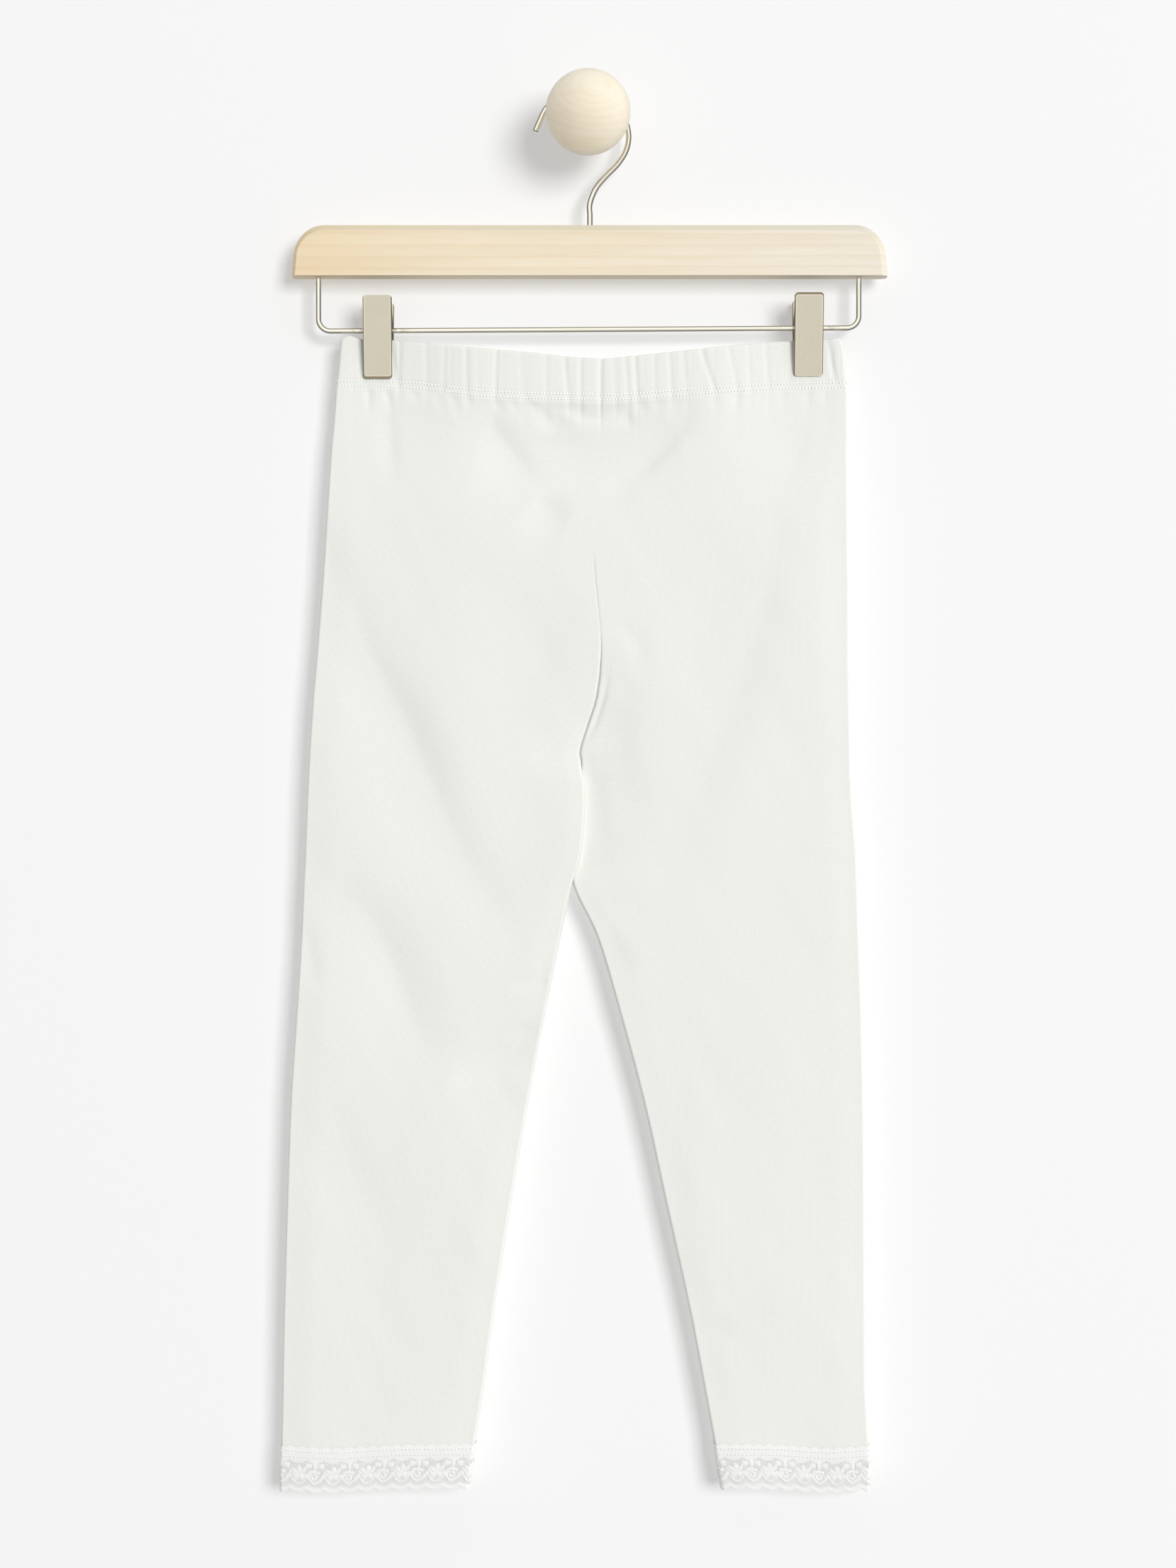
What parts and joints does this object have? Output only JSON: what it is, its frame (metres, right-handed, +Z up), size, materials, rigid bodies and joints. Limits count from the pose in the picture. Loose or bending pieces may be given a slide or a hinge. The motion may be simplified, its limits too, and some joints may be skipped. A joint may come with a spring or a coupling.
{
  "type": "leggings on a clip hanger with a ball wall peg",
  "caption": "Cropped jersey leggings with lace hems, hung flat by sprung clips from a wooden hanger on a round wall peg.",
  "frame": {"origin": "on the wall plane, where the peg's axis meets it", "axes": "+X to the right seen from the front, +Y into the wall, +Z up"},
  "size_m": [0.3569, 0.0694, 0.8254],
  "materials": {
    "jersey": "off-white cotton jersey with a soft, matt, finely ribbed face",
    "lace": "white cotton lace with a dense floral figure and a fine net ground",
    "pale_wood": "pale straight-grained wood, satin varnish",
    "ball_wood": "pale turned wood with curved growth rings, satin varnish",
    "nickel": "bright nickel-plated wire, slightly tarnished",
    "satin_clip": "satin warm nickel sheet"
  },
  "bodies": {
    "root": {"peg_ball": "ball_wood", "peg_stem": "ball_wood", "hanger_bar": "pale_wood", "hanger_hook": "nickel", "hanger_rod": "nickel", "clip_left_front_jaw": "satin_clip", "clip_left_back_jaw": "satin_clip", "clip_left_spring": "nickel", "clip_right_front_jaw": "satin_clip", "clip_right_back_jaw": "satin_clip", "clip_right_spring": "nickel", "waistband_casing": "jersey", "leg_panel_left": "jersey", "leg_panel_right": "jersey", "lace_hem_left": "lace", "lace_hem_right": "lace"}
  },
  "joints": []
}
